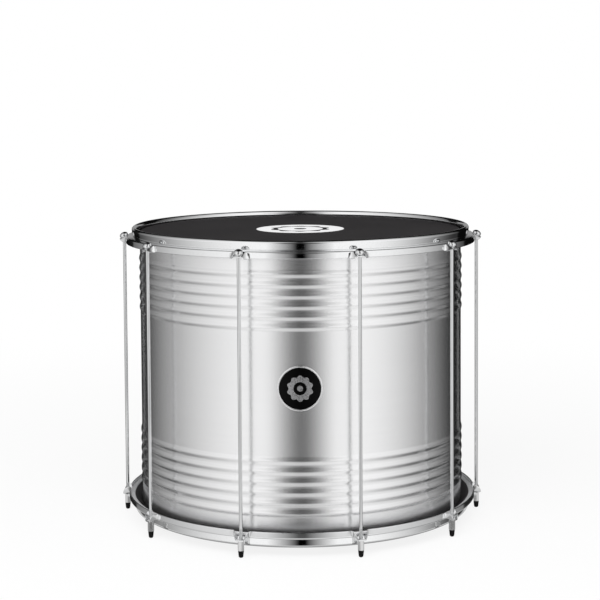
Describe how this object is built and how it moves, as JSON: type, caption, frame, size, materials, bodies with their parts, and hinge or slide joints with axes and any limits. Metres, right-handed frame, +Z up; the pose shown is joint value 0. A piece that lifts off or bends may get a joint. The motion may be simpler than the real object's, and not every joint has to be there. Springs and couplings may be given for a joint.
{
  "type": "surdo drum",
  "caption": "Free-standing two-headed bass drum with a beaded aluminium shell, dark heads, steel counterhoops and full-length tension rods on rubber tips.",
  "frame": {"origin": "on the ground, at the drum's axis", "axes": "+Z up along the drum's axis, -Y towards the front, where the badge is"},
  "size_m": [0.6894, 0.662, 0.5496],
  "materials": {
    "shell_aluminium": "satin, brushed round the shell",
    "flesh_hoop_aluminium": "plain mill finish",
    "hoop_chrome": "polished plate on pressed steel",
    "rod_chrome": "polished plate",
    "nut_steel": "bright zinc plate",
    "tip_rubber": "matt moulded rubber",
    "head_film": "satin black film with a pale printed disc on the top head",
    "badge_face": "gloss black",
    "badge_chrome": "polished"
  },
  "bodies": {
    "drum_body": {"shell": "shell_aluminium", "top_head_film": "head_film", "top_flesh_hoop": "flesh_hoop_aluminium", "bottom_head_film": "head_film", "bottom_flesh_hoop": "flesh_hoop_aluminium", "bottom_counterhoop": "hoop_chrome", "badge_plate": "badge_face", "badge_ring": "badge_chrome"},
    "top_ring": {"top_counterhoop": "hoop_chrome", "tension_rod_01": "rod_chrome", "tension_rod_02": "rod_chrome", "tension_rod_03": "rod_chrome", "tension_rod_04": "rod_chrome", "tension_rod_05": "rod_chrome", "tension_rod_06": "rod_chrome", "tension_rod_07": "rod_chrome", "tension_rod_08": "rod_chrome", "tension_rod_09": "rod_chrome", "tension_rod_10": "rod_chrome"},
    "nut_01": {"hex_nut_01": "nut_steel", "rubber_tip_01": "tip_rubber"},
    "nut_02": {"hex_nut_02": "nut_steel", "rubber_tip_02": "tip_rubber"},
    "nut_03": {"hex_nut_03": "nut_steel", "rubber_tip_03": "tip_rubber"},
    "nut_04": {"hex_nut_04": "nut_steel", "rubber_tip_04": "tip_rubber"},
    "nut_05": {"hex_nut_05": "nut_steel", "rubber_tip_05": "tip_rubber"},
    "nut_06": {"hex_nut_06": "nut_steel", "rubber_tip_06": "tip_rubber"},
    "nut_07": {"hex_nut_07": "nut_steel", "rubber_tip_07": "tip_rubber"},
    "nut_08": {"hex_nut_08": "nut_steel", "rubber_tip_08": "tip_rubber"},
    "nut_09": {"hex_nut_09": "nut_steel", "rubber_tip_09": "tip_rubber"},
    "nut_10": {"hex_nut_10": "nut_steel", "rubber_tip_10": "tip_rubber"}
  },
  "joints": [
    {"name": "hoop_lift", "type": "slide", "parent": "drum_body", "child": "top_ring", "axis": [0, 0, 1], "range_m": [0, 0.01]},
    {"name": "nut_01_spin", "type": "hinge", "parent": "drum_body", "child": "nut_01", "pos_m": [0.10383, -0.31955, 0.021], "axis": [0, 0, -1], "range_deg": [0, 3600]},
    {"name": "nut_02_spin", "type": "hinge", "parent": "drum_body", "child": "nut_02", "pos_m": [0.27183, -0.1975, 0.021], "axis": [0, 0, -1], "range_deg": [0, 3600]},
    {"name": "nut_03_spin", "type": "hinge", "parent": "drum_body", "child": "nut_03", "pos_m": [0.336, 0, 0.021], "axis": [0, 0, -1], "range_deg": [0, 3600]},
    {"name": "nut_04_spin", "type": "hinge", "parent": "drum_body", "child": "nut_04", "pos_m": [0.27183, 0.1975, 0.021], "axis": [0, 0, -1], "range_deg": [0, 3600]},
    {"name": "nut_05_spin", "type": "hinge", "parent": "drum_body", "child": "nut_05", "pos_m": [0.10383, 0.31955, 0.021], "axis": [0, 0, -1], "range_deg": [0, 3600]},
    {"name": "nut_06_spin", "type": "hinge", "parent": "drum_body", "child": "nut_06", "pos_m": [-0.10383, 0.31955, 0.021], "axis": [0, 0, -1], "range_deg": [0, 3600]},
    {"name": "nut_07_spin", "type": "hinge", "parent": "drum_body", "child": "nut_07", "pos_m": [-0.27183, 0.1975, 0.021], "axis": [0, 0, -1], "range_deg": [0, 3600]},
    {"name": "nut_08_spin", "type": "hinge", "parent": "drum_body", "child": "nut_08", "pos_m": [-0.336, 0, 0.021], "axis": [0, 0, -1], "range_deg": [0, 3600]},
    {"name": "nut_09_spin", "type": "hinge", "parent": "drum_body", "child": "nut_09", "pos_m": [-0.27183, -0.1975, 0.021], "axis": [0, 0, -1], "range_deg": [0, 3600]},
    {"name": "nut_10_spin", "type": "hinge", "parent": "drum_body", "child": "nut_10", "pos_m": [-0.10383, -0.31955, 0.021], "axis": [0, 0, -1], "range_deg": [0, 3600]}
  ],
  "couplings": [
    {"joint": "nut_01_spin", "follows": "hoop_lift", "rad_per_m": 6283.2},
    {"joint": "nut_02_spin", "follows": "hoop_lift", "rad_per_m": 6283.2},
    {"joint": "nut_03_spin", "follows": "hoop_lift", "rad_per_m": 6283.2},
    {"joint": "nut_04_spin", "follows": "hoop_lift", "rad_per_m": 6283.2},
    {"joint": "nut_05_spin", "follows": "hoop_lift", "rad_per_m": 6283.2},
    {"joint": "nut_06_spin", "follows": "hoop_lift", "rad_per_m": 6283.2},
    {"joint": "nut_07_spin", "follows": "hoop_lift", "rad_per_m": 6283.2},
    {"joint": "nut_08_spin", "follows": "hoop_lift", "rad_per_m": 6283.2},
    {"joint": "nut_09_spin", "follows": "hoop_lift", "rad_per_m": 6283.2},
    {"joint": "nut_10_spin", "follows": "hoop_lift", "rad_per_m": 6283.2}
  ]
}
